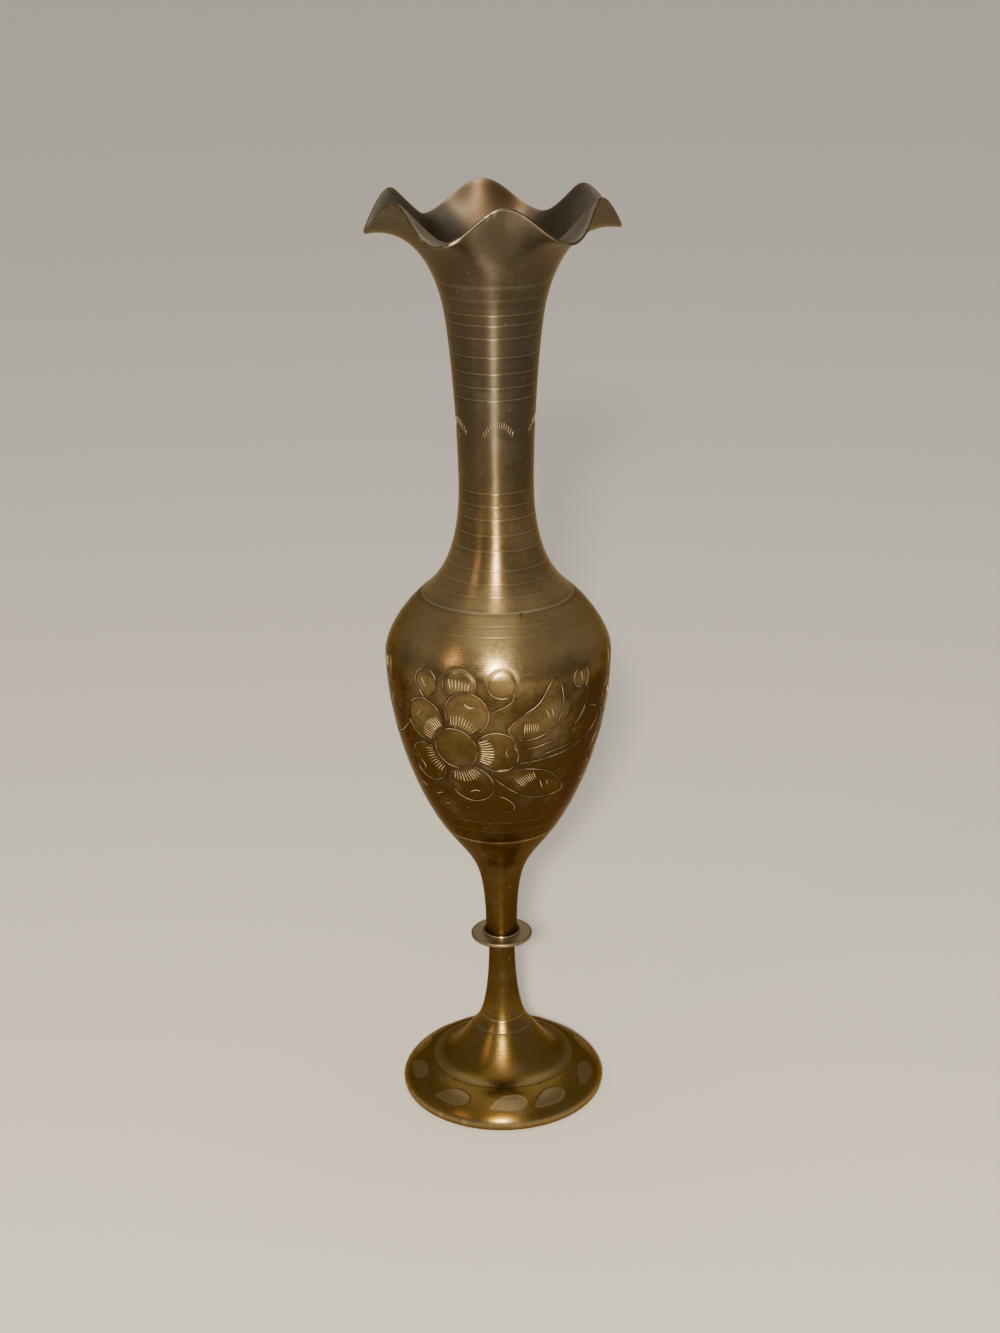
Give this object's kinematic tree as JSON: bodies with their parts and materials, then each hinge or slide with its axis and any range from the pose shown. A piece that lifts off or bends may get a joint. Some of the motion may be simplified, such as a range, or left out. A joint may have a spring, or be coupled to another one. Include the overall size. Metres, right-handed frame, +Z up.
{
  "type": "vase",
  "caption": "Slender footed bud vase in aged brass: ruffled trumpet lip, ringed neck, engraved ovoid bowl, collared stem and round hollow foot.",
  "frame": {"origin": "centre of the circle that the foot stands on, at floor level", "axes": "+Z up along the vase's axis, from the foot to the mouth; -Y faces the front, where the engraved flower is; +X to the front's right"},
  "size_m": [0.078, 0.0736, 0.3055],
  "materials": {
    "foot_brass": "cast and turned brass, aged golden brown, satin, with flat-cut leaf marks",
    "collar_brass": "turned brass disc, dull and greyed",
    "stem_brass": "cast and turned brass, dark olive-brown, satin",
    "bowl_brass": "spun brass, lacquered and aged, satin, with bright-cut engraving",
    "neck_brass": "spun brass, aged to copper brown at the lip, with turned lines",
    "stud_brass": "plain threaded rod, hidden",
    "solder": "dull solder, hidden in the laps apart from its fillets inside the bowl"
  },
  "bodies": {
    "root": {"foot": "foot_brass", "collar": "collar_brass", "threaded_stud": "stud_brass", "upper_stem": "stem_brass", "stem_braze_ring": "solder", "bowl": "bowl_brass", "neck_braze_ring": "solder", "neck_and_lip": "neck_brass"}
  },
  "joints": []
}
